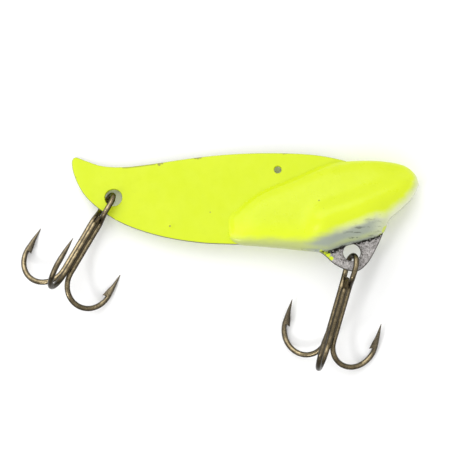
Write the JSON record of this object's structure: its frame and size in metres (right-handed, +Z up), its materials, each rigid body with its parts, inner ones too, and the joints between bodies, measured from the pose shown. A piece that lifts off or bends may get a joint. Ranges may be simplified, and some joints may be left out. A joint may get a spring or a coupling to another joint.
{
  "type": "metal blade crankbait lure",
  "caption": "Chartreuse metal blade crankbait with a cast lead head and two bronze treble hooks hung straight in the blade.",
  "frame": {"origin": "the middle of the lure's footprint, on the surface it lies on", "axes": "+X toward the nose, +Y toward the lure's back edge, +Z up from the surface"},
  "size_m": [0.073, 0.0398, 0.0149],
  "materials": {
    "blade_paint": "gloss chartreuse paint, chipped along the edges",
    "weight_paint": "gloss chartreuse paint over cast lead, fading to white at the belly",
    "hook_wire": "aged bronze lacquer on drawn steel wire"
  },
  "bodies": {
    "lure_body": {"blade": "blade_paint", "lead_weight": "weight_paint"},
    "tail_hook": {"tail_hook_double_wire": "hook_wire", "tail_hook_single_wire": "hook_wire"},
    "belly_hook": {"belly_hook_double_wire": "hook_wire", "belly_hook_single_wire": "hook_wire"}
  },
  "joints": [
    {"name": "tail_hook_swing", "type": "hinge", "parent": "lure_body", "child": "tail_hook", "pos_m": [-0.01961, 0.01218, 0.00244], "axis": [-0.0454, 0.2077, 0.9771], "range_deg": [-36, 20]},
    {"name": "belly_hook_swing", "type": "hinge", "parent": "lure_body", "child": "belly_hook", "pos_m": [0.02451, 0.00109, 0.00735], "axis": [-0.0454, 0.2077, 0.9771], "range_deg": [-58, 28]}
  ]
}
